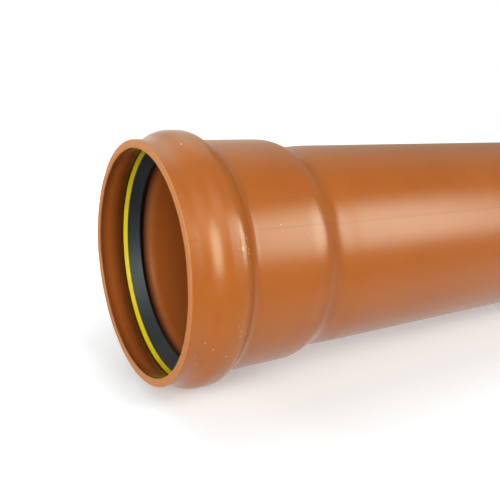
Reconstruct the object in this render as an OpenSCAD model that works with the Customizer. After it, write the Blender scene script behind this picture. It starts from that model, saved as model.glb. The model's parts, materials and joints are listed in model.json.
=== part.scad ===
// Plastic drain pipe with a formed socket, a rubber lip seal and the ring that holds the seal.
// Each section is drawn as points of [distance from the mouth, radius] and turned about the
// pipe's axis. The pipe lies along +X with its mouth at the -X end. It rests on the bead and
// on the spigot end, so its axis leans a little.

/* [Barrel] */
// Outside diameter of the barrel and of the spigot
barrel_d = 110; // [75:1:160]
// Wall of the barrel
barrel_wall = 3.2; // [2.4:0.1:5]
// Laying length, from the end of the socket's straight bore to the spigot end
laying_l = 500; // [250:10:1000]
// Length of the chamfer on the spigot end
chamfer_l = 6; // [3:0.5:10]
// Height of the chamfer on the spigot end
chamfer_h = 1.6; // [0.6:0.1:2]

/* [Socket] */
// Gap all round between a pushed-in spigot and the socket
spigot_gap = 0.3; // [0.1:0.05:0.5]
// Wall of the socket
socket_wall = 3.3; // [2.4:0.1:5]
// Wall of the mouth's rim, which was stretched less
rim_wall = 3.9; // [2.4:0.1:5]
// Depth from the mouth to the shoulder
socket_depth = 66; // [50:1:100]
// Length of the shoulder between the socket and the barrel
shoulder_l = 17.5; // [8:0.5:25]
// How far the barrel is drawn in behind the shoulder
neck_h = 0.6; // [0.2:0.1:1]
// Length over which the barrel comes back out to its full size
neck_l = 15; // [8:1:25]
// Rounding of the two edges of the mouth's rim
rim_round = 0.5; // [0.2:0.1:1]

/* [Bead] */
// Straight run between the mouth and the bead
land_l = 4.5; // [3:0.5:8]
// Length of the bead's front flank
flank_l = 12.75; // [10:0.25:16]
// Length of the bead's crest
crest_l = 4; // [3:0.5:8]
// Length of the bead's rear flank
rear_l = 12; // [8:0.5:15]
// Depth of the groove inside the bead
groove_h = 5.2; // [4.5:0.1:6.5]
// Wall of the bead, thinned where the socket was stretched
bead_wall = 2.9; // [2:0.1:4]

/* [Retaining ring] */
// How far the ring's nose reaches in front of the crest
nose_l = 3.2; // [2:0.1:3.7]
// Length of the ring's inside face, from its nose to the lip
face_l = 2.3; // [1.5:0.1:2.7]
// How far the ring's inside face slants inwards from its nose
face_drop = 0.7; // [0.3:0.1:1]
// Height of the ring's front wall
ring_h = 2; // [1.6:0.1:2.3]
// Thickness of the ring's front wall
ring_web = 1.4; // [0.8:0.1:1.8]
// Thickness of the band that runs back from the front wall
band_t = 0.9; // [0.6:0.1:1.2]

/* [Lip seal] */
// How far the relaxed lip's edge stands inside the surface of a pushed-in spigot
lip_squeeze = 1.5; // [1:0.25:4]
// How far the lip slants back from the ring to its edge
lip_l = 4.5; // [4:0.25:6]
// Thickness of the lip at its edge
lip_t = 1.6; // [1:0.1:2.2]
// Width of the notch between the lip and the heel
notch_w = 1.4; // [0.8:0.1:2]
// Distance from the notch's middle to the ring's inside
notch_h = 1.6; // [1.3:0.1:2]
// How far the heel reaches behind the crest
heel_l = 6; // [2.5:0.25:7]
// Height of the heel's inside above the socket's bore
heel_h = 0.9; // [0.6:0.1:1.4]

/* [Hidden] */

// Gap between the groove and what sits in it
seat_gap = 0.15;
// Gap between the seal and its ring
joint_gap = 0.1;
// Sides of a turned shape, and steps of one arc in a section
turn_steps = 180;
arc_steps = 6;
// Share of a bend that its first arc takes, on the outside and on the inside of the wall
even_share = 0.5;
front_in_share = 0.65;
rear_in_share = 0.3;

barrel_r = barrel_d / 2;
bore_r = barrel_r - barrel_wall;
socket_in_r = barrel_r + spigot_gap;
socket_out_r = socket_in_r + socket_wall;
rim_out_r = socket_in_r + rim_wall;
groove_r = socket_in_r + groove_h;
bead_r = groove_r + bead_wall;
neck_r = barrel_r - neck_h;

crest_start = land_l + flank_l;
crest_end = crest_start + crest_l;
bead_end = crest_end + rear_l;
shoulder_end = socket_depth + shoulder_l;
neck_end = shoulder_end + neck_l;
total_l = socket_depth + laying_l;
chamfer_start = total_l - chamfer_l;
spigot_end_r = barrel_r - chamfer_h;

// The floor touches the bead at the crest's rear edge and the spigot where its chamfer starts
lean = atan2(bead_r - barrel_r, chamfer_start - crest_end);
mouth_h = crest_end * sin(lean) + bead_r * cos(lean);
low_x = -(rim_out_r - rim_round) * sin(lean);
high_x = total_l * cos(lean) + spigot_end_r * sin(lean);
middle_x = (low_x + high_x) / 2;

ring_front = crest_start - nose_l;
ring_in_r = groove_r - ring_h;
ring_step = ring_front + face_l + ring_web;
band_in_r = groove_r - band_t;

seal_front = ring_front + face_l + joint_gap;
seal_top_r = ring_in_r - joint_gap;
lip_r = barrel_r - lip_squeeze;
tip_round = lip_t / 2;
notch_round = notch_w / 2;
tip = [seal_front + lip_l, lip_r + tip_round];
notch = [seal_front + lip_l - notch_round, seal_top_r - notch_h];
heel_in_r = socket_in_r + heel_h;
heel_end = crest_end + heel_l;

// Points of an arc about a centre, from one angle to another
function arc(centre, r, from, to) =
    [for (i = [0 : arc_steps])
        let (a = from + (to - from) * i / arc_steps)
            centre + r * [cos(a), sin(a)]];

// An S-shaped bend between two runs that are parallel to the axis: two arcs that meet at one slope
function bend(from, to, first_share) =
    let (slope = 2 * atan2(to.y - from.y, to.x - from.x),
         first_r = first_share * (to.x - from.x) / sin(slope),
         last_r = (1 - first_share) * (to.x - from.x) / sin(slope))
    [for (i = [0 : arc_steps])
        let (a = slope * i / arc_steps)
            from + first_r * [sin(a), 1 - cos(a)],
     for (i = [arc_steps - 1 : -1 : 0])
        let (a = slope * i / arc_steps)
            to - last_r * [sin(a), 1 - cos(a)]];

function reversed(points) = [for (i = [len(points) - 1 : -1 : 0]) points[i]];

// All but the first point, for a line that carries on from where another ends
function carried_on(points) = [for (i = [1 : len(points) - 1]) points[i]];

// The groove's surface, or a line a small gap inside it
function groove_line(gap) = concat(
    bend([land_l, socket_in_r - gap], [crest_start, groove_r - gap], front_in_share),
    bend([crest_end, groove_r - gap], [bead_end, socket_in_r - gap], rear_in_share));

// The pipe's surface inside, from the mouth to the spigot end
inside_line = concat(
    arc([rim_round, socket_in_r + rim_round], rim_round, 180, 270),
    groove_line(0),
    bend([socket_depth, socket_in_r], [shoulder_end, bore_r], even_share),
    [[total_l, bore_r]]);

// The pipe's surface outside, from the mouth to the spigot end
outside_line = concat(
    arc([rim_round, rim_out_r - rim_round], rim_round, 180, 90),
    bend([land_l, rim_out_r], [crest_start, bead_r], even_share),
    bend([crest_end, bead_r], [bead_end, socket_out_r], even_share),
    bend([socket_depth, socket_out_r], [shoulder_end, neck_r], even_share),
    carried_on(bend([shoulder_end, neck_r], [neck_end, barrel_r], even_share)),
    [[chamfer_start, barrel_r], [total_l, spigot_end_r]]);

// What the groove can hold: the room under its surface, down past the lip's edge
groove_room = concat(
    groove_line(seat_gap),
    [[bead_end, lip_r - lip_t], [land_l, lip_r - lip_t]]);

// The ring: a front wall with a blunt nose and a slanted face, and a thin band along the crest behind it
ring_outline = [
    [ring_front, groove_r],
    [ring_front, ring_in_r + face_drop],
    [ring_front + face_l, ring_in_r],
    [ring_step, ring_in_r],
    [ring_step, band_in_r],
    [crest_end, band_in_r],
    [crest_end, groove_r]];

// The seal: a lip that slants back from the ring to a round edge, a notch behind the lip,
// a heel in the rear of the groove and a bar held under the ring's band
lip_angle = atan2(tip.y - seal_top_r, tip.x - seal_front);
seal_outline = concat(
    [[seal_front, seal_top_r]],
    arc(tip, tip_round, lip_angle - 90, lip_angle + 90),
    arc(notch, notch_round, lip_angle + 270, 0),
    [[notch.x + notch_round, heel_in_r],
     [heel_end, heel_in_r],
     [heel_end, groove_r],
     [crest_end + joint_gap, groove_r],
     [crest_end + joint_gap, band_in_r - joint_gap],
     [ring_step + joint_gap, band_in_r - joint_gap],
     [ring_step + joint_gap, seal_top_r]]);

// A flat section from points of [distance from the mouth, radius]
module section(points) {
    polygon([for (p = points) [p.y, p.x]]);
}

// A section turned about the pipe's axis and laid down as the pipe rests
module lying() {
    translate([-middle_x, 0, mouth_h])
        rotate([0, 90 + lean, 0])
            rotate_extrude($fn = turn_steps)
                children();
}

module pipe() {
    color("#c06a32")
        lying()
            section(concat(inside_line, reversed(outside_line)));
}

module lip_seal() {
    color("#2b2e31")
        lying()
            intersection() {
                section(groove_room);
                section(seal_outline);
            }
}

module retaining_ring() {
    color("#e6d22e")
        lying()
            intersection() {
                section(groove_room);
                section(ring_outline);
            }
}

pipe();
lip_seal();
retaining_ring();
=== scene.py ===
import json
import math

import bpy
import numpy as np
from mathutils import Matrix, Vector


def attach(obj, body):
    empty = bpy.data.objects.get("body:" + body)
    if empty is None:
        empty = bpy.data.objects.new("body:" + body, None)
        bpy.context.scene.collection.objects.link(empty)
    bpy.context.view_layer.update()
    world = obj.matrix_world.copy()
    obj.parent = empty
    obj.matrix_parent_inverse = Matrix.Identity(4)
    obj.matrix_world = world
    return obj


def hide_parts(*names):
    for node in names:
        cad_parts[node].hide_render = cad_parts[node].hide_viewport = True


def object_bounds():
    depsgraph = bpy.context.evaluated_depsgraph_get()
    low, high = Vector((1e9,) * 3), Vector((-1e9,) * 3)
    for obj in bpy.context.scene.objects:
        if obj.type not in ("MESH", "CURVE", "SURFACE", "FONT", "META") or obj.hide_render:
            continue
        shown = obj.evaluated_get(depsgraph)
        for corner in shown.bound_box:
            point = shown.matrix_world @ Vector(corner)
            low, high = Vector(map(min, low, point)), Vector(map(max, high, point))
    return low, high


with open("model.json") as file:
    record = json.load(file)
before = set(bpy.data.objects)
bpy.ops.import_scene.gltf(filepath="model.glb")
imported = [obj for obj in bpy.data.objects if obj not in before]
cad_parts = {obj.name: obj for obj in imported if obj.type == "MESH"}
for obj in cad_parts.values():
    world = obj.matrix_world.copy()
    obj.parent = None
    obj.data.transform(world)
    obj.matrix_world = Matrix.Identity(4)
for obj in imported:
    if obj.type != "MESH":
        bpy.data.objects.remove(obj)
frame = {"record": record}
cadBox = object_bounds()
print("stage: frame loaded")

mm = 0.001

# The pipe's own frame, from its two mounts: X runs along the axis from the mouth's centre, Z is up
mounts = {m["name"]: m for m in frame["record"]["mounts"]}
spigot, socketMouth = mounts["spigot"], mounts["socket_mouth"]
alongPipe = Vector(spigot["axis"]).normalized()
acrossPipe = Vector((0, 1, 0))
upPipe = alongPipe.cross(acrossPipe)
barrelR = spigot["dims"]["r_mm"] * mm
socketInR = socketMouth["dims"]["r_mm"] * mm

# Sizes of the pipe: as far as rearInShare they are the CAD's, and the rest belongs to this scene
pipeSizes = {
    "barrelWall": 3.2 * mm,
    "socketWall": 3.3 * mm,
    "rimWall": 3.9 * mm,
    "socketDepth": 66 * mm,
    "shoulderLength": 17.5 * mm,
    "neckHeight": 0.6 * mm,
    "neckLength": 15 * mm,
    "totalLength": 566 * mm,
    "chamferLength": 6 * mm,
    "chamferHeight": 1.6 * mm,
    "rimRound": 0.5 * mm,
    "landLength": 4.5 * mm,
    "flankLength": 12.75 * mm,
    "crestLength": 4 * mm,
    "rearLength": 12 * mm,
    "grooveHeight": 5.2 * mm,
    "beadWall": 2.9 * mm,
    "frontInShare": 0.65,
    "rearInShare": 0.3,
    # the saw cut: how far its sides stand forward, the share lost at the top, and the depth that moves with it
    "cutSlant": 0.87 * mm,
    "cutTopLoss": 0.5,
    "cutReach": 1.35 * mm,
    # waves of the saw, and the depth over which they fade; each noise is a seed and its lowest and highest
    # number of waves
    "sawWave": 0.12 * mm,
    "sawNoise": (3, 3, 40),
    "waveReach": 1.5 * mm,
    # the burr on the inner edge, with a few higher flakes where their noise is over its level
    "burrLength": 0.9 * mm,
    "burrRoot": 1.17 * mm,
    "burrRise": 0.35 * mm,
    "burrHeight": 0.2 * mm,
    "burrChange": 0.35,
    "burrNoise": (5, 2, 40),
    "flakeHeight": 1.2,
    "flakeLevel": 0.45,
    "flakeNoise": (6, 12, 110),
    # nicks in the outer edge
    "nickDepth": 0.6 * mm,
    "nickLevel": 0.35,
    "nickPower": 1.5,
    "nickNoise": (8, 20, 150),
    # how far the sawn colour reaches, and how fast it fades
    "sawnEnd": 0.3 * mm,
    "sawnFade": 0.2 * mm,
    # steps of the mesh, and the angle from which an edge is sharp
    "rimSteps": 5,
    "formSteps": 16,
    "barrelSteps": 7,
    "segments": 432,
    "sharpDegrees": 50,
}

crestStart = pipeSizes["landLength"] + pipeSizes["flankLength"]
crestEnd = crestStart + pipeSizes["crestLength"]
beadEnd = crestEnd + pipeSizes["rearLength"]
shoulderEnd = pipeSizes["socketDepth"] + pipeSizes["shoulderLength"]
neckEnd = shoulderEnd + pipeSizes["neckLength"]
chamferStart = pipeSizes["totalLength"] - pipeSizes["chamferLength"]
boreR = barrelR - pipeSizes["barrelWall"]
socketOutR = socketInR + pipeSizes["socketWall"]
rimOutR = socketInR + pipeSizes["rimWall"]
neckR = barrelR - pipeSizes["neckHeight"]
grooveR = socketInR + pipeSizes["grooveHeight"]
beadR = grooveR + pipeSizes["beadWall"]

landHalf = socketMouth["dims"]["length_mm"] * mm / 2
mouthCentre = Vector(socketMouth["pos_m"]) - alongPipe * (landHalf + pipeSizes["rimRound"])
pipeToRow = Matrix((alongPipe, acrossPipe, upPipe)).transposed().to_4x4()
pipeToRow.translation = mouthCentre


def toRow(points):
    # points of the pipe's own frame, turned and moved into the row's frame
    turn = np.array(pipeToRow.to_3x3())
    return points @ turn.T + np.array(pipeToRow.translation)


def arc(centre, radius, fromDegrees, toDegrees, steps=8):
    # centre plus radius times (cos a, sin a), for a between the two angles
    a = np.radians(np.linspace(fromDegrees, toDegrees, steps + 1))
    return np.array(centre) + radius * np.stack([np.cos(a), np.sin(a)], 1)


def bend(start, end, firstShare=0.5, steps=12):
    # an S of two arcs between two runs parallel to the axis; both arcs end at the same slope
    start, end = np.array(start), np.array(end)
    run, rise = end - start
    slope = 2 * math.atan2(rise, run)
    a = slope * np.linspace(0, 1, steps + 1)
    unit = np.stack([np.sin(a), 1 - np.cos(a)], 1)
    first = start + unit * firstShare * run / math.sin(slope)
    last = end - unit[::-1] * (1 - firstShare) * run / math.sin(slope)
    return np.concatenate([first, last[1:]])


def straight(start, end, radius, steps):
    # even steps at one radius, without the first point
    return np.stack([np.linspace(start, end, steps + 1)[1:], np.full(steps, radius)], 1)


def eased(corners, radii, steps=5, longestShare=0.45):
    # each corner of a closed outline is cut back along its two sides, by its radius but no more than
    # a share of the side, and joined by a quadratic curve
    corners, radii = np.array(corners), np.array(radii)[:, None]
    before = np.roll(corners, 1, 0) - corners
    after = np.roll(corners, -1, 0) - corners
    beforeLength = np.linalg.norm(before, axis=1, keepdims=True)
    afterLength = np.linalg.norm(after, axis=1, keepdims=True)
    start = corners + before / beforeLength * np.minimum(radii, longestShare * beforeLength)
    end = corners + after / afterLength * np.minimum(radii, longestShare * afterLength)
    t = np.linspace(0, 1, steps + 1)[None, :, None]
    start, middle, end = start[:, None], corners[:, None], end[:, None]
    curve = (1 - t) ** 2 * start + 2 * t * (1 - t) * middle + t ** 2 * end
    return curve.reshape(-1, 2)


def roundAngles(segments):
    # even angles once round the axis, from the far side by way of the top
    return np.linspace(0, 2 * math.pi, segments, endpoint=False)


def ringPoints(profile, segments):
    # a profile point (x, r) turned by angle a goes to (x, r cos a, r sin a)
    a = roundAngles(segments)
    x, r = profile[:, 0, None], profile[:, 1, None]
    return np.stack([np.repeat(x, segments, 1), r * np.cos(a), r * np.sin(a)], 2)


def meshFromRings(name, points, sharpDegrees=40):
    # quads between neighbouring rings and neighbouring angles, closed both ways
    rings, segments = points.shape[:2]
    index = np.arange(rings * segments).reshape(rings, segments)
    nextRing = np.roll(index, -1, 0)
    quads = np.stack([index, nextRing, np.roll(nextRing, -1, 1), np.roll(index, -1, 1)], 2).reshape(-1, 4)
    mesh = bpy.data.meshes.new(name)
    mesh.from_pydata(toRow(points.reshape(-1, 3)).tolist(), [], quads.tolist())
    mesh.polygons.foreach_set("use_smooth", np.ones(len(quads), bool))
    mesh.set_sharp_from_angle(angle=math.radians(sharpDegrees))
    mesh.update()
    piece = bpy.data.objects.new(name, mesh)
    bpy.context.scene.collection.objects.link(piece)
    return piece


def angleNoise(segments, seed, lowest, highest, leastHeight=0.3):
    # sum of waves round the pipe, from the lowest to the highest number of waves, each between the least height
    # and 1, scaled to a peak of 1
    random = np.random.default_rng(seed)
    waves = np.arange(lowest, highest + 1)
    phase = random.uniform(0, 2 * math.pi, len(waves))
    height = random.uniform(leastHeight, 1, len(waves))
    a = roundAngles(segments)
    total = (height[:, None] * np.sin(waves[:, None] * a + phase[:, None])).sum(0)
    return total / np.abs(total).max()


def grooveLine(gap):
    # the groove's surface inside the bead, or a line a small gap inside it
    low, high = socketInR - gap, grooveR - gap
    front = bend((pipeSizes["landLength"], low), (crestStart, high), pipeSizes["frontInShare"])
    rear = bend((crestEnd, high), (beadEnd, low), pipeSizes["rearInShare"])
    return np.concatenate([front, rear])


def insideLine():
    # the surface inside, from the mouth to the spigot end
    s = pipeSizes
    return np.concatenate([
        arc((s["rimRound"], socketInR + s["rimRound"]), s["rimRound"], 180, 270, s["rimSteps"]),
        [(s["burrLength"], socketInR), (s["burrRoot"], socketInR)],
        grooveLine(0),
        bend((s["socketDepth"], socketInR), (shoulderEnd, boreR)),
        straight(shoulderEnd, s["totalLength"], boreR, s["barrelSteps"]),
    ])


def outsideLine():
    # the surface outside, from the mouth to the spigot end
    s = pipeSizes
    return np.concatenate([
        arc((s["rimRound"], rimOutR - s["rimRound"]), s["rimRound"], 180, 90, s["rimSteps"]),
        bend((s["landLength"], rimOutR), (crestStart, beadR), steps=s["formSteps"]),
        bend((crestEnd, beadR), (beadEnd, socketOutR), steps=s["formSteps"]),
        bend((s["socketDepth"], socketOutR), (shoulderEnd, neckR), steps=s["formSteps"]),
        bend((shoulderEnd, neckR), (neckEnd, barrelR))[1:],
        straight(neckEnd, chamferStart, barrelR, s["barrelSteps"]),
        [(s["totalLength"], barrelR - s["chamferHeight"])],
    ])


def makePipe():
    # the turned profile, changed at the mouth: the saw cut is moved forward by its slant and back by a smooth
    # wave, its inner edge stands inwards by the burr's height times a noise, and its outer edge is nicked where
    # another noise is high
    s = pipeSizes
    segments = s["segments"]
    insidePart = insideLine()
    profile = np.concatenate([insidePart, outsideLine()[::-1]])
    points = ringPoints(profile, segments)
    x, r = profile[:, 0], profile[:, 1]
    # the cut stands forward at its sides, less at the top and not at all at the bottom
    upwards = np.sin(roundAngles(segments))
    forward = s["cutSlant"] * (1 - s["cutTopLoss"] * np.maximum(upwards, 0) + np.minimum(upwards, 0))
    points[:, :, 0] -= (x < s["cutReach"])[:, None] * forward
    nearRim = np.clip(1 - x / s["waveReach"], 0, 1)
    wave = s["sawWave"] / 2 * (1 + angleNoise(segments, *s["sawNoise"]))
    points[:, :, 0] += nearRim[:, None] * wave
    onBurr = (r < socketInR + s["burrRise"]) & (x < s["burrRoot"])
    flakes = np.clip(angleNoise(segments, *s["flakeNoise"]) - s["flakeLevel"], 0, 1)
    burrs = 1 + s["burrChange"] * angleNoise(segments, *s["burrNoise"]) + s["flakeHeight"] * flakes
    outerEdge = nearRim * (r > rimOutR - s["rimRound"])
    nicks = np.clip(angleNoise(segments, *s["nickNoise"]) - s["nickLevel"], 0, 1) ** s["nickPower"]
    inwards = s["nickDepth"] * outerEdge[:, None] * nicks + s["burrHeight"] * onBurr[:, None] * burrs
    points[:, :, 1:] *= (1 - inwards / r[:, None])[:, :, None]
    shell = meshFromRings("pipe_shell", points, s["sharpDegrees"])
    # marks of the inside and of the rim's sawn face, which the material reads
    marks = {
        "inside": np.arange(len(profile)) < len(insidePart),
        "sawn": np.clip((s["sawnEnd"] - x) / s["sawnFade"], 0, 1),
    }
    for name, mark in marks.items():
        values = np.repeat(mark, segments).astype(np.float32)
        shell.data.attributes.new(name, "FLOAT", "POINT").data.foreach_set("value", values)
    return shell


pipe = makePipe()
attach(pipe, "root")
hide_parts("pipe")
print("stage: pipe made")

# The ring's face is a little narrower than the CAD's, the seal's heel is shorter and its lip sags;
# the other sizes are the CAD's, with eased corners
ringSizes = {
    "noseLength": 2.7 * mm,
    "faceLength": 1.8 * mm,
    "faceDrop": 0.7 * mm,
    "height": 2 * mm,
    "web": 1.4 * mm,
    "bandThickness": 0.9 * mm,
    "easing": 0.3 * mm,
    "seatEasing": 0.1 * mm,
    "segments": 300,
}
sealSizes = {
    "seatGap": 0.15 * mm,
    "jointGap": 0.1 * mm,
    "lipSqueeze": 1.5 * mm,
    "lipLength": 4.5 * mm,
    "lipThickness": 1.6 * mm,
    "notchWidth": 1.4 * mm,
    "notchHeight": 1.6 * mm,
    "heelLength": 3.6 * mm,
    "heelHeight": 0.9 * mm,
    "easing": 0.25 * mm,
    "roundEasing": 0.05 * mm,
    "hiddenEasing": 0.1 * mm,
    "easingSteps": 3,
    # the lip's edge waves, and sags back by more at the bottom than at the top
    "lipWave": 0.12 * mm,
    "lipNoise": (12, 2, 9),
    "lipSag": 1.2 * mm,
    "sagChange": 0.85,
    "lipMargin": 1.01,
    "segments": 300,
}

ringFront = crestStart - ringSizes["noseLength"]
ringInR = grooveR - ringSizes["height"]
ringStep = ringFront + ringSizes["faceLength"] + ringSizes["web"]
bandInR = grooveR - ringSizes["bandThickness"]


def makeRetainingRing():
    # a front wall with a blunt nose and a slanted face, and a thin band behind it; its back follows the groove
    s = ringSizes
    seat = grooveLine(sealSizes["seatGap"])
    held = seat[(seat[:, 0] > ringFront) & (seat[:, 0] <= crestEnd)]
    noseR = np.interp(ringFront, *seat.T)
    front = [
        (ringFront, ringInR + s["faceDrop"]),
        (ringFront + s["faceLength"], ringInR),
        (ringStep, ringInR),
        (ringStep, bandInR),
        (crestEnd, bandInR),
    ]
    corners = np.concatenate([held[::-1], [(ringFront, noseR)], front])
    radii = np.repeat([s["seatEasing"], s["easing"]], [len(held) + 1, len(front)])
    profile = eased(corners[::-1], radii[::-1])
    return meshFromRings("retaining_ring_turned", ringPoints(profile, s["segments"])[::-1])


def makeLipSeal():
    # a lip that slants back to a round edge, a notch, and a heel in the rear of the groove; a point of the lip
    # moves back by its share of the lip's height times the wave and the sag
    s = sealSizes
    gap = s["jointGap"]
    front = ringFront + ringSizes["faceLength"] + gap
    topR = ringInR - gap
    tipRound, notchRound = s["lipThickness"] / 2, s["notchWidth"] / 2
    tip = (front + s["lipLength"], barrelR - s["lipSqueeze"] + tipRound)
    notch = (tip[0] - notchRound, topR - s["notchHeight"])
    lipDegrees = math.degrees(math.atan2(tip[1] - topR, tip[0] - front))
    heelEnd = crestEnd + s["heelLength"]
    heelInR = socketInR + s["heelHeight"]
    seat = grooveLine(s["seatGap"])
    # the outline, part by part, each with the easing of its corners
    tipArc = arc(tip, tipRound, lipDegrees - 90, lipDegrees + 90)
    notchArc = arc(notch, notchRound, lipDegrees + 270, 0)
    heel = [(notch[0] + notchRound, heelInR), (heelEnd, heelInR)]
    rear = seat[(seat[:, 0] > crestEnd + gap) & (seat[:, 0] < heelEnd)][::-1]
    under = [(crestEnd + gap, bandInR - gap), (ringStep + gap, bandInR - gap), (ringStep + gap, topR)]
    parts = (
        ([(front, topR)], "easing"),
        (tipArc, "roundEasing"),
        (notchArc, "roundEasing"),
        (heel, "easing"),
        (rear, "roundEasing"),
        (under, "hiddenEasing"),
    )
    corners = np.concatenate([part for part, easing in parts])
    radii = np.concatenate([np.full(len(part), s[easing]) for part, easing in parts])
    profile = eased(corners, radii, s["easingSteps"])
    points = ringPoints(profile, s["segments"])
    onLip = profile[:, 0] < tip[0] + tipRound * s["lipMargin"]
    reach = np.clip((topR - profile[:, 1]) / (topR - tip[1]), 0, 1) * onLip
    upwards = np.sin(roundAngles(s["segments"]))
    wave = s["lipWave"] * angleNoise(s["segments"], *s["lipNoise"])
    sag = s["lipSag"] * (1 - s["sagChange"] * upwards)
    points[:, :, 0] += reach[:, None] * (wave + sag)
    return meshFromRings("lip_seal_turned", points)


retainingRing = makeRetainingRing()
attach(retainingRing, "root")
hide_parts("retaining_ring")
lipSeal = makeLipSeal()
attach(lipSeal, "root")
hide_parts("lip_seal")
print("stage: seal and ring made")


def feed(tree, socket, value):
    # a socket is linked, anything else is set as the socket's own value
    if isinstance(value, bpy.types.NodeSocket):
        tree.links.new(value, socket)
    else:
        socket.default_value = value


def calc(tree, operation, first, *others, clamp=False):
    # the operation on the first value and each further one in turn, or on the first alone
    result = first
    for other in others or (0.0,):
        node = tree.nodes.new("ShaderNodeMath")
        node.operation = operation
        node.use_clamp = clamp
        feed(tree, node.inputs[0], result)
        feed(tree, node.inputs[1], other)
        result = node.outputs[0]
    return result


def plusPart(tree, total, mark, weight, clamp=False):
    # the total plus the mark times its weight
    return calc(tree, "ADD", total, calc(tree, "MULTIPLY", mark, weight), clamp=clamp)


def ramp(tree, value, fromMin, fromMax, toMin=0.0, toMax=1.0):
    # smooth step between two limits
    node = tree.nodes.new("ShaderNodeMapRange")
    node.interpolation_type = "SMOOTHSTEP"
    feed(tree, node.inputs["Value"], value)
    limits = {"From Min": fromMin, "From Max": fromMax, "To Min": toMin, "To Max": toMax}
    for name, limit in limits.items():
        node.inputs[name].default_value = limit
    return node.outputs[0]


def band(tree, value, limits, unit=1.0):
    # a smooth step up between the first two limits, times a smooth step down from the peak between the next two
    riseStart, riseEnd, fallStart, fallEnd, peak = limits
    rise = ramp(tree, value, riseStart * unit, riseEnd * unit)
    fall = ramp(tree, value, fallStart * unit, fallEnd * unit, peak, 0)
    return calc(tree, "MULTIPLY", rise, fall)


def blendColour(tree, share, first, second):
    # the first colour times (1 - share) plus the second times the share
    node = tree.nodes.new("ShaderNodeMix")
    node.data_type = "RGBA"
    feed(tree, node.inputs[0], share)
    feed(tree, node.inputs[6], first)
    feed(tree, node.inputs[7], second)
    return node.outputs[2]


def noise(tree, vector, scale, detail=2.0, roughness=0.5):
    # layered noise of the vector times the scale
    node = tree.nodes.new("ShaderNodeTexNoise")
    node.inputs["Scale"].default_value = scale
    node.inputs["Detail"].default_value = detail
    node.inputs["Roughness"].default_value = roughness
    tree.links.new(vector, node.inputs["Vector"])
    return node.outputs["Fac"]


def specks(tree, vector, scale, reach, chosen):
    # round spots in a share of the cells of a Voronoi pattern, soft over the outer half of their reach
    node = tree.nodes.new("ShaderNodeTexVoronoi")
    node.inputs["Scale"].default_value = scale
    tree.links.new(vector, node.inputs["Vector"])
    spot = ramp(tree, node.outputs["Distance"], reach / 2, reach, 1.0, 0.0)
    split = tree.nodes.new("ShaderNodeSeparateColor")
    tree.links.new(node.outputs["Color"], split.inputs[0])
    picked = calc(tree, "LESS_THAN", split.outputs[0], chosen)
    return calc(tree, "MULTIPLY", spot, picked)


def joinVector(tree, *values):
    # a vector from its three values
    node = tree.nodes.new("ShaderNodeCombineXYZ")
    for socket, value in zip(node.inputs, values):
        feed(tree, socket, value)
    return node.outputs[0]


def splitVector(tree, vector):
    # the three values of a vector
    node = tree.nodes.new("ShaderNodeSeparateXYZ")
    tree.links.new(vector, node.inputs[0])
    return node.outputs


def pipePlace(tree):
    # Object coordinates, turned and moved into the pipe's own frame
    coordinate = tree.nodes.new("ShaderNodeTexCoord")
    mapping = tree.nodes.new("ShaderNodeMapping")
    rowToPipe = pipeToRow.inverted()
    mapping.inputs["Location"].default_value = rowToPipe.translation
    mapping.inputs["Rotation"].default_value = rowToPipe.to_euler()
    tree.links.new(coordinate.outputs["Object"], mapping.inputs["Vector"])
    return mapping.outputs[0]


def roundPipe(tree, place):
    # the place along the axis, and the unit direction round it: across and up over the distance from the axis
    along, across, up = splitVector(tree, place)
    squared = calc(tree, "ADD", calc(tree, "MULTIPLY", across, across), calc(tree, "MULTIPLY", up, up))
    radius = calc(tree, "SQRT", squared)
    return along, calc(tree, "DIVIDE", across, radius), calc(tree, "DIVIDE", up, radius)


def attribute(tree, name):
    # the mark of this name that the mesh carries
    node = tree.nodes.new("ShaderNodeAttribute")
    node.attribute_name = name
    return node.outputs["Fac"]


def bumpNormal(tree, height, reach=1 * mm):
    # a height of 1 stands for the reach
    node = tree.nodes.new("ShaderNodeBump")
    node.inputs["Strength"].default_value = 1.0
    node.inputs["Distance"].default_value = reach
    tree.links.new(height, node.inputs["Height"])
    return node.outputs["Normal"]


def newMaterial(name):
    # an empty material with its node tree and its shader
    material = bpy.data.materials.new(name)
    material.use_nodes = True
    return material, material.node_tree, material.node_tree.nodes["Principled BSDF"]


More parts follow.
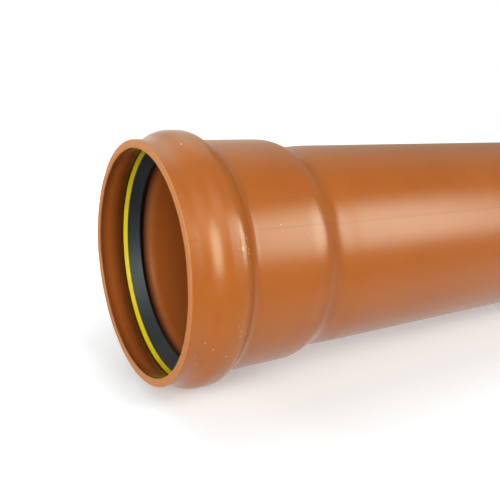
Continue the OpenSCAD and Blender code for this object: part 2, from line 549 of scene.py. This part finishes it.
pipeLook = {
    "colour": (0.43, 0.109, 0.007, 1),
    "darker": (0.4, 0.097, 0.006, 1),
    # the inside's colours are a bluer copy of the plastic's, tuned to how the inside is lit; deeper in, shade is
    # painted
    "inside": (0.42, 0.114, 0.024, 1),
    "insideDarker": (0.39, 0.104, 0.02, 1),
    "deepInsideShade": (0.315, 0.08, 0.016, 1),
    "deepFrom": (32 * mm, 50 * mm),
    "cloudNoise": (28, 3),
    "cloudLevels": (0.35, 0.7),
    "broadLevels": (0.3, 0.7, 0.4, 1.0),
    # what lies over the plastic: each colour and its share; the crease's sheen, the groove's shade and the bead's
    # glints among them are painted light and shade
    "dieLine": ((0.3, 0.07, 0.006, 1), 0.4),
    # painted sheen: a paler, greyer tint where the crease and the slopes have lost their gloss
    "paintedSheen": ((0.36, 0.17, 0.1, 1), 0.22),
    # painted shade in the groove: beside the ring, behind the seal and behind the burr
    "grooveShade": ((0.1, 0.035, 0.015, 1), 0.7),
    "cut": ((0.62, 0.23, 0.065, 1), 0.8),
    # glints painted as pale specks on the bead
    "paintedGlints": ((0.95, 0.85, 0.65, 1), 0.4),
    "dust": ((0.95, 0.85, 0.65, 1), 1.0),
    # gloss: the level, what the formed places gain, the share that dull places lose, and the tint
    "gloss": 0.76,
    "formedGloss": 0.22,
    "dullLoss": 0.97,
    "tint": (0.92, 1, 0.82, 1),
    # roughness: the least, and what each mark changes
    "roughness": 0.215,
    "lineRoughness": 0.07,
    "formedRoughness": -0.05,
    "flankShare": 0.3,
    "cutRoughness": 0.22,
    "grooveRoughness": 0.25,
    "dustRoughness": 0.4,
    # heights of the relief in millimetres
    "drawLines": 0.0006,
    "broadLines": 0.002,
    "drawnFrom": (60 * mm, 100 * mm, 0.3, 1.0),
    "orangePeel": 0.12,
    "softPeel": 0.006,
    "dustHeight": 0.12,
    "dieLineHeight": -0.03,
    # patterns: the scale, detail and roughness of each noise, and the scale, reach and share of each kind of speck
    "drawStretch": 0.02,
    "drawNoise": (900, 3, 0.6),
    "broadNoise": (120, 2),
    "peelNoise": (600, 1),
    "softPeelNoise": (260, 1),
    "patchNoise": (60, 2),
    "patchLevels": (0.45, 0.62, 0.0, 0.5),
    "glintSpecks": (650, 0.34, 0.4),
    "dustSpecks": (170, 0.04, 0.05),
    "dustThins": (70 * mm, 200 * mm, 1, 0.25),
    # the die line: degrees upwards from the front, its width, and where it starts
    "dieLineDegrees": 21.4,
    "dieLineWidth": 0.5 * mm,
    "dieLineFrom": (31 * mm, 36 * mm),
    # the roughest patch of the bead, and single grains of dust of which the first is a glint painted as a pale
    # grain:
    # millimetres from the mouth, degrees upwards from the front, and for a grain its radius in millimetres
    "peelPatch": (22.5, 15),
    "peelPatchReach": (3 * mm, 11 * mm),
    "dustGrainsAndGlint": (
        # a glint painted as a pale grain on top of the bead
        (12.4, 67, 0.55),
        (7.3, -24.5, 0.32),
        (4.6, -32, 0.32),
        (6.2, -38, 0.3),
        (11, -27.5, 0.35),
        (17.4, -31, 0.3),
        (45.5, 22.8, 0.4),
        (59.4, 17.5, 0.3),
    ),
    "grainCore": 0.3,
    "chamferFade": 0.2 * mm,
    # bands along the pipe: the millimetres from the mouth where each starts, is full, starts to fade and ends,
    # and its peak
    "bands": {
        "bead": (18, 22, 24, 28, 1),
        "flanks": (6, 12, 30, 36, 1),
        "shoulder": (60, 66, 74, 80, 1),
        "crease": (22.8, 25, 27.5, 32, 1),
        "groove": (8, 14, 17, 22, 1),
        "behindSeal": (21, 23, 24.5, 30, 1.2),
        "behindBurr": (0.2, 0.6, 1, 2.4, 0.35),
        "behindBead": (20.5, 22.5, 25, 28, 1),
        "behindShoulder": (69, 74, 79, 84, 1),
        "lowShoulder": (64, 72, 78, 86, 1),
    },
    # the same for the height over the axis, in radii
    "upperHalf": (0.36, 0.5, 0.84, 0.95, 1),
    "lowerHalf": (-0.85, -0.5, 0.1, 0.4, 0.88),
}


def awayFrom(tree, place, spotAlong, spotDegrees):
    # distance from a spot on the outside: its millimetres from the mouth, and its angle upwards from the front
    spotR = np.interp(spotAlong * mm, *outsideLine().T)
    angle = math.radians(spotDegrees)
    node = tree.nodes.new("ShaderNodeVectorMath")
    node.operation = "DISTANCE"
    tree.links.new(place, node.inputs[0])
    node.inputs[1].default_value = (spotAlong * mm, -spotR * math.cos(angle), spotR * math.sin(angle))
    return node.outputs["Value"]


def makePipeMaterial():
    # each mark is a share from 0 to 1; the colour is blended towards each mark's colour in turn by the mark
    # times its share, and the roughness, the gloss and the height are sums of marks times their own values
    look = pipeLook
    material, tree, shader = newMaterial("pipePlastic")
    place = pipePlace(tree)
    along, across, up = roundPipe(tree, place)
    on = {name: band(tree, along, limits, mm) for name, limits in look["bands"].items()}
    inside, rimFace = attribute(tree, "inside"), attribute(tree, "sawn")
    outside = calc(tree, "SUBTRACT", 1.0, inside)

    # draw lines: noise that hardly changes along the pipe
    stretches = ((along, look["drawStretch"]), (across, barrelR), (up, barrelR))
    stretched = joinVector(tree, *[calc(tree, "MULTIPLY", value, by) for value, by in stretches])
    lines = noise(tree, stretched, *look["drawNoise"])
    broadLines = noise(tree, stretched, *look["broadNoise"])

    # one die line runs along the front at its own angle, from behind the bead
    dieAngle = math.radians(look["dieLineDegrees"])
    sideways = plusPart(tree, calc(tree, "MULTIPLY", across, math.sin(dieAngle)), up, math.cos(dieAngle))
    offset = calc(tree, "MULTIPLY", calc(tree, "ABSOLUTE", sideways), barrelR)
    onFront = calc(tree, "LESS_THAN", across, 0.0)
    started = ramp(tree, along, *look["dieLineFrom"])
    nearLine = ramp(tree, offset, 0, look["dieLineWidth"], 1, 0)
    dieLine = calc(tree, "MULTIPLY", nearLine, onFront, started, outside)

    # orange peel where the bead was blown out, and glints painted there as pale specks, both stronger in patches
    patches = ramp(tree, noise(tree, place, *look["patchNoise"]), *look["patchLevels"])
    roughest = ramp(tree, awayFrom(tree, place, *look["peelPatch"]), *look["peelPatchReach"], 1, 0)
    patches = calc(tree, "MULTIPLY", on["bead"], calc(tree, "MAXIMUM", patches, roughest))
    peel = calc(tree, "MULTIPLY", noise(tree, place, *look["peelNoise"]), patches)
    paintedGlints = calc(tree, "MULTIPLY", specks(tree, place, *look["glintSpecks"]), patches)
    softPeel = noise(tree, place, *look["softPeelNoise"])

    # fine dust, thinner along the barrel, and a few larger grains, the first of them a painted glint
    fineDust = specks(tree, place, *look["dustSpecks"])
    dust = calc(tree, "MULTIPLY", fineDust, ramp(tree, along, *look["dustThins"]))
    for spotAlong, spotDegrees, spotSize in look["dustGrainsAndGlint"]:
        away = awayFrom(tree, place, spotAlong, spotDegrees)
        grain = ramp(tree, away, look["grainCore"] * spotSize * mm, spotSize * mm, 1, 0)
        dust = calc(tree, "MAXIMUM", dust, grain)

    # the sawn mouth and the turned spigot end are paler
    turnedEnd = ramp(tree, along, chamferStart, chamferStart + look["chamferFade"])
    sawn = calc(tree, "MAXIMUM", rimFace, turnedEnd)

    # painted shade in the groove beside the ring, behind the seal and behind the burr, on the inside only
    shadedGrooveMask = calc(tree, "MAXIMUM", on["groove"], on["behindSeal"], on["behindBurr"])
    shadedGrooveMask = calc(tree, "MULTIPLY", shadedGrooveMask, inside)

    # the crease behind the bead, and the slopes behind the bead and the shoulder, lose their gloss: both slopes in
    # their upper half, and the shoulder in its lower half too; a paler, greyer tint is painted there as a sheen
    slopes = calc(tree, "ADD", on["behindBead"], on["behindShoulder"])
    slopes = calc(tree, "MULTIPLY", slopes, band(tree, up, look["upperHalf"]))
    lowSlope = calc(tree, "MULTIPLY", on["lowShoulder"], band(tree, up, look["lowerHalf"]))
    slopes = calc(tree, "MULTIPLY", calc(tree, "MAXIMUM", slopes, lowSlope), outside)
    paintedSheen = calc(tree, "MAXIMUM", on["crease"], slopes)
    dull = calc(tree, "MAXIMUM", paintedSheen, shadedGrooveMask)

    # colour
    clouds = ramp(tree, noise(tree, place, *look["cloudNoise"]), *look["cloudLevels"])
    mottle = calc(tree, "MULTIPLY", clouds, ramp(tree, broadLines, *look["broadLevels"]), clamp=True)
    colour = blendColour(tree, mottle, look["colour"], look["darker"])
    # the inside gets its own copy of the colours, tuned to how it is lit, and darkens deeper in as painted shade
    insideColour = blendColour(tree, mottle, look["inside"], look["insideDarker"])
    deep = ramp(tree, along, *look["deepFrom"])
    insideColour = blendColour(tree, deep, insideColour, look["deepInsideShade"])
    colour = blendColour(tree, inside, colour, insideColour)
    layers = {
        "dieLine": dieLine,
        "paintedSheen": paintedSheen,
        "grooveShade": shadedGrooveMask,
        "cut": sawn,
        "paintedGlints": paintedGlints,
        "dust": dust,
    }
    for name, mark in layers.items():
        layerColour, share = look[name]
        colour = blendColour(tree, calc(tree, "MULTIPLY", mark, share), colour, layerColour)
    tree.links.new(colour, shader.inputs["Base Color"])

    # the formed bead, its flanks and the shoulder are a little smoother, the rest of the marks rougher
    formed = calc(tree, "ADD", on["bead"], on["shoulder"])
    smoother = plusPart(tree, formed, on["flanks"], look["flankShare"])
    rough = plusPart(tree, look["roughness"], broadLines, look["lineRoughness"])
    rough = plusPart(tree, rough, smoother, look["formedRoughness"])
    rough = plusPart(tree, rough, sawn, look["cutRoughness"])
    rough = plusPart(tree, rough, shadedGrooveMask, look["grooveRoughness"])
    rough = plusPart(tree, rough, dust, look["dustRoughness"], clamp=True)
    tree.links.new(rough, shader.inputs["Roughness"])

    # gloss
    gloss = plusPart(tree, look["gloss"], formed, look["formedGloss"])
    kept = plusPart(tree, 1.0, dull, -look["dullLoss"])
    tree.links.new(calc(tree, "MULTIPLY", gloss, kept), shader.inputs["Specular IOR Level"])
    shader.inputs["Specular IOR Level"].default_value = look["gloss"]
    shader.inputs["Specular Tint"].default_value = look["tint"]

    # relief; the draw lines are weaker on the formed socket and missing inside
    drawn = plusPart(tree, calc(tree, "MULTIPLY", lines, look["drawLines"]), broadLines, look["broadLines"])
    height = calc(tree, "MULTIPLY", drawn, ramp(tree, along, *look["drawnFrom"]), outside)
    height = plusPart(tree, height, peel, look["orangePeel"])
    height = plusPart(tree, height, softPeel, look["softPeel"])
    height = plusPart(tree, height, dust, look["dustHeight"])
    height = plusPart(tree, height, dieLine, look["dieLineHeight"])
    tree.links.new(bumpNormal(tree, height), shader.inputs["Normal"])
    return material


rubberLook = {
    "colour": (0.006, 0.0075, 0.011, 1),
    "bloom": (0.011, 0.0135, 0.018, 1),
    "cloudNoise": (60, 3),
    "cloudLevels": (0.35, 0.7),
    "dust": (0.4, 0.38, 0.36, 1),
    "dustSpecks": (260, 0.05, 0.03),
    "dustHeight": 0.1,
    "gloss": 0.49,
    "tint": (0.78, 0.95, 1, 1),
    "roughness": 0.34,
    "roughChange": 0.14,
    "roughNoise": (200, 2),
    "grain": 0.01,
    "grainNoise": (1600, 2),
}


def makeRubberMaterial():
    # two blacks blended by clouds, with specks of dust; roughness and height are noises times their own values
    look = rubberLook
    material, tree, shader = newMaterial("sealRubber")
    place = pipePlace(tree)
    clouds = ramp(tree, noise(tree, place, *look["cloudNoise"]), *look["cloudLevels"])
    dust = specks(tree, place, *look["dustSpecks"])
    colour = blendColour(tree, clouds, look["colour"], look["bloom"])
    tree.links.new(blendColour(tree, dust, colour, look["dust"]), shader.inputs["Base Color"])
    rough = plusPart(tree, look["roughness"], noise(tree, place, *look["roughNoise"]), look["roughChange"])
    tree.links.new(rough, shader.inputs["Roughness"])
    shader.inputs["Specular IOR Level"].default_value = look["gloss"]
    shader.inputs["Specular Tint"].default_value = look["tint"]
    grain = calc(tree, "MULTIPLY", noise(tree, place, *look["grainNoise"]), look["grain"])
    height = plusPart(tree, grain, dust, look["dustHeight"])
    tree.links.new(bumpNormal(tree, height), shader.inputs["Normal"])
    return material


ringLook = {
    "colour": (0.9, 0.77, 0.012, 1),
    "deeper": (0.84, 0.68, 0.015, 1),
    "cloudNoise": (90, 3),
    "cloudLevels": (0.35, 0.7),
    "gloss": 0.3,
    "roughness": 0.31,
    "roughChange": 0.12,
    "roughNoise": (240, 2),
    "grain": 0.008,
    "grainNoise": (1200, 2),
}


def makeRingMaterial():
    # two yellows blended by clouds; roughness and height are noises times their own values
    look = ringLook
    material, tree, shader = newMaterial("ringPlastic")
    place = pipePlace(tree)
    clouds = ramp(tree, noise(tree, place, *look["cloudNoise"]), *look["cloudLevels"])
    tree.links.new(blendColour(tree, clouds, look["colour"], look["deeper"]), shader.inputs["Base Color"])
    rough = plusPart(tree, look["roughness"], noise(tree, place, *look["roughNoise"]), look["roughChange"])
    tree.links.new(rough, shader.inputs["Roughness"])
    shader.inputs["Specular IOR Level"].default_value = look["gloss"]
    grain = calc(tree, "MULTIPLY", noise(tree, place, *look["grainNoise"]), look["grain"])
    tree.links.new(bumpNormal(tree, grain), shader.inputs["Normal"])
    return material


pipe.data.materials.append(makePipeMaterial())
lipSeal.data.materials.append(makeRubberMaterial())
retainingRing.data.materials.append(makeRingMaterial())
print("stage: materials made")

# Floor: diffuse, with white added for camera and glossy rays so that it reads as the white ground of a studio;
# places and reaches are in metres
floorLook = {
    "size": 12.0,
    "colour": (0.83, 0.905, 1, 1),  # to the camera
    "bounce": (0.67, 0.67, 0.67, 1),  # for the light that it throws back
    "mirroredColour": (0.4, 0.4, 0.4, 1),  # in the object's gloss
    # how fast the distance from the footprint counts along and across the pipe
    "paces": (4.0, 1.0),
    # white for the camera: under the object, beside it and far away; less under the object paints a deeper
    # shadow there, and more beside the mouth and under the bead paints light into the shadow
    "underLift": 0.18,
    "lift": 0.66,
    "liftReach": (-0.06, 0.16),
    "farLift": 1.0,
    "farReach": (0.15, 1.2),
    "mouthLift": 0.09,
    "mouthAlong": (-0.285, -0.255),
    "mouthAcross": (0.02, 0.07),
    "beadLift": 0.07,
    "beadAlong": (-0.26, -0.22),
    "beadAcross": (-0.03, -0.01),
    # white in reflections: close to the pipe, further away, and towards the left softbox
    "mirroredNear": 0.54,
    "mirrored": 0.08,
    "mirroredReach": (0.0, 0.12),
    "mirroredLeft": 0.5,
    "leftAlong": (-0.75, -0.35),
}


def footprintReach(tree, x, y):
    # how far a place lies outside the object's box along and across, times the paces; the root of the summed
    # squares of both
    squares = []
    for place, half, pace in zip((x, y), cadBox[1], floorLook["paces"]):
        outside = calc(tree, "SUBTRACT", calc(tree, "ABSOLUTE", place), float(half))
        outside = calc(tree, "MULTIPLY", calc(tree, "MAXIMUM", outside, 0.0), pace)
        squares.append(calc(tree, "MULTIPLY", outside, outside))
    return calc(tree, "SQRT", calc(tree, "ADD", *squares))


def floorLift(tree, x, y, reach):
    # white for the camera: it grows with the reach, because the lamps' light falls off, and is low close to the
    # object to paint a deeper shadow; two local parts paint light beside the mouth and under the bead
    look = floorLook
    lift = ramp(tree, reach, *look["liftReach"], look["underLift"], look["lift"])
    far = ramp(tree, reach, *look["farReach"], 0.0, look["farLift"] - look["lift"])
    besideMouth = ramp(tree, x, *look["mouthAlong"], look["mouthLift"], 0.0)
    besideMouth = calc(tree, "MULTIPLY", besideMouth, ramp(tree, y, *look["mouthAcross"]))
    underBead = ramp(tree, x, *look["beadAlong"], look["beadLift"], 0.0)
    underBead = calc(tree, "MULTIPLY", underBead, ramp(tree, y, *look["beadAcross"], 1.0, 0.0))
    return calc(tree, "ADD", lift, far, besideMouth, underBead)


def floorMirrored(tree, x, reach):
    # white in reflections: the larger of what the left softbox's side and the nearness to the pipe give
    look = floorLook
    left = ramp(tree, x, *look["leftAlong"], look["mirroredLeft"], 0.0)
    nearby = ramp(tree, reach, *look["mirroredReach"], look["mirroredNear"], look["mirrored"])
    return calc(tree, "MAXIMUM", left, nearby)


def makeFloor():
    # one square; the camera sees a whiter floor than the one that lights the object and shows in its gloss
    half = floorLook["size"] / 2
    corners = [(-half, -half, 0), (half, -half, 0), (half, half, 0), (-half, half, 0)]
    mesh = bpy.data.meshes.new("floor")
    mesh.from_pydata(corners, [], [(0, 1, 2, 3)])
    floor = bpy.data.objects.new("floor", mesh)
    bpy.context.scene.collection.objects.link(floor)
    material = bpy.data.materials.new("floorWhite")
    material.use_nodes = True
    tree = material.node_tree
    tree.nodes.clear()
    output = tree.nodes.new("ShaderNodeOutputMaterial")
    diffuse = tree.nodes.new("ShaderNodeBsdfDiffuse")
    glow = tree.nodes.new("ShaderNodeEmission")
    path = tree.nodes.new("ShaderNodeLightPath").outputs
    reflected = calc(tree, "MAXIMUM", path["Is Glossy Ray"], path["Is Transmission Ray"])
    bounced = blendColour(tree, reflected, floorLook["bounce"], floorLook["mirroredColour"])
    colour = blendColour(tree, path["Is Camera Ray"], bounced, floorLook["colour"])
    tree.links.new(colour, diffuse.inputs["Color"])
    coordinate = tree.nodes.new("ShaderNodeTexCoord")
    x, y = splitVector(tree, coordinate.outputs["Object"])[:2]
    reach = footprintReach(tree, x, y)
    seen = calc(tree, "MULTIPLY", path["Is Camera Ray"], floorLift(tree, x, y, reach))
    mirrored = calc(tree, "MULTIPLY", reflected, floorMirrored(tree, x, reach))
    tree.links.new(calc(tree, "MAXIMUM", seen, mirrored), glow.inputs["Strength"])
    both = tree.nodes.new("ShaderNodeAddShader")
    tree.links.new(diffuse.outputs[0], both.inputs[0])
    tree.links.new(glow.outputs[0], both.inputs[1])
    tree.links.new(both.outputs[0], output.inputs["Surface"])
    mesh.materials.append(material)


makeFloor()

# Studio: two softboxes in front, a weak fill above the camera, a weak light from above the back, and a fill for
# the back that the gloss doesn't mirror. Each is given by its direction from the socket (degrees round from +X,
# and upwards), its distance and size in metres, its radiance and its colour.
softboxes = {
    "softboxRight": {
        "around": -46, "up": 18.2, "distance": 1.3, "size": (1.1, 1.25),
        "radiance": 4.6, "colour": (1, 1, 0.96), "mirrored": True,
    },
    "softboxLeft": {
        "around": -140, "up": 15, "distance": 1.3, "size": (1.9, 1.25),
        "radiance": 5.6, "colour": (1, 0.97, 0.85), "mirrored": True,
    },
    "fillFront": {
        "around": -95, "up": 42, "distance": 1.6, "size": (2.4, 2.0),
        "radiance": 1.05, "colour": (1, 1, 0.92), "mirrored": True,
    },
    "backLight": {
        "around": 85, "up": 62, "distance": 1.6, "size": (2.2, 1.6),
        "radiance": 0.5, "colour": (1, 0.95, 0.78), "mirrored": True,
    },
    "backFill": {
        "around": 88, "up": 14, "distance": 1.6, "size": (2.8, 0.8),
        "radiance": 4.5, "colour": (1, 1, 1), "mirrored": False,
    },
}
clothBand = (0, 0.4, 0.6, 1, 1)  # how a lamp's cloth brightens towards its middle, over its width and height
aimDepth = 40 * mm  # the lamps face this depth in the socket
socketPlace = pipeToRow @ Vector((aimDepth, 0, 0))


def direction(around, up):
    # the unit vector (cos up cos around, cos up sin around, sin up)
    return Vector((math.cos(up) * math.cos(around), math.cos(up) * math.sin(around), math.sin(up)))


def makeSoftbox(name, box):
    # a rectangle that faces the socket; its power is its radiance times pi times its area, and its cloth is the
    # product of one band over its width and one over its height
    outwards = direction(math.radians(box["around"]), math.radians(box["up"]))
    light = bpy.data.lights.new(name, "AREA")
    light.shape = "RECTANGLE"
    light.size, light.size_y = box["size"]
    light.color = box["colour"]
    light.energy = box["radiance"] * math.pi * light.size * light.size_y
    light.use_nodes = True
    tree = light.node_tree
    place = tree.nodes.new("ShaderNodeNewGeometry")
    sides = splitVector(tree, place.outputs["Parametric"])[:2]
    cloth = calc(tree, "MULTIPLY", *[band(tree, side, clothBand) for side in sides])
    tree.links.new(cloth, tree.nodes["Emission"].inputs["Strength"])
    lamp = bpy.data.objects.new(name, light)
    turn = (-outwards).to_track_quat("-Z", "Y").to_matrix().to_4x4()
    lamp.matrix_world = Matrix.Translation(socketPlace + outwards * box["distance"]) @ turn
    lamp.visible_camera = False
    lamp.visible_glossy = box["mirrored"]
    bpy.context.scene.collection.objects.link(lamp)


for name, box in softboxes.items():
    makeSoftbox(name, box)

# World: a white backdrop to the camera; in reflections it is a little warm, and darker to the right and
# overhead; on the object it is a low level of light
worldLook = {
    "warm": (1, 0.98, 0.86, 1),
    "white": (1, 1, 1, 1),
    "level": 0.17,
    "right": 0.4,
    "rightFrom": (0.3, 0.8),
    "overhead": 0.6,
    "overheadFrom": (0.2, 0.9),
}


def makeWorld():
    # the strength is 1 to the camera, the backdrop's in reflections and the level elsewhere; the backdrop falls
    # with X to the right, and with Z less Y to the ceiling in front of it
    look = worldLook
    world = bpy.data.worlds.new("studio")
    bpy.context.scene.world = world
    world.use_nodes = True
    tree = world.node_tree
    background = tree.nodes["Background"]
    path = tree.nodes.new("ShaderNodeLightPath").outputs
    colour = blendColour(tree, path["Is Camera Ray"], look["warm"], look["white"])
    tree.links.new(colour, background.inputs["Color"])
    reflected = calc(tree, "MAXIMUM", path["Is Glossy Ray"], path["Is Transmission Ray"])
    coordinate = tree.nodes.new("ShaderNodeTexCoord")
    x, y, z = splitVector(tree, coordinate.outputs["Generated"])
    sideways = ramp(tree, x, *look["rightFrom"], 1.0, look["right"])
    forward = ramp(tree, calc(tree, "SUBTRACT", z, y), *look["overheadFrom"], 1.0, look["overhead"])
    mirrored = calc(tree, "MULTIPLY", reflected, calc(tree, "MULTIPLY", sideways, forward))
    strength = calc(tree, "MAXIMUM", path["Is Camera Ray"], mirrored, look["level"])
    tree.links.new(strength, background.inputs["Strength"])


makeWorld()

# Camera, placed in the pipe's own frame: its eye, the radians it is turned from the axis and upwards, and its
# focal length in pixels of the square picture
cameraPlace = {
    "eye": (-106.6 * mm, -275.39 * mm, 63.52 * mm),
    "yaw": 1.019,
    "pitch": -0.1923,
    "focalPixels": 618.34,
    "framePixels": 500,
    "sensorWidth": 36,
    "clipStart": 0.01,
}


def makeCamera():
    # the lens is the focal length in pixels, over the picture's width in pixels, times the sensor's width
    place = cameraPlace
    ahead = direction(place["yaw"], place["pitch"])
    turn = ahead.to_track_quat("-Z", "Y").to_matrix().to_4x4()
    data = bpy.data.cameras.new("camera")
    data.sensor_width = place["sensorWidth"]
    data.lens = place["focalPixels"] / place["framePixels"] * data.sensor_width
    data.clip_start = place["clipStart"]
    camera = bpy.data.objects.new("camera", data)
    camera.matrix_world = pipeToRow @ Matrix.Translation(place["eye"]) @ turn
    bpy.context.scene.collection.objects.link(camera)
    bpy.context.scene.camera = camera


makeCamera()
bpy.context.scene.view_settings.view_transform = "Standard"
print("stage: studio and camera made")
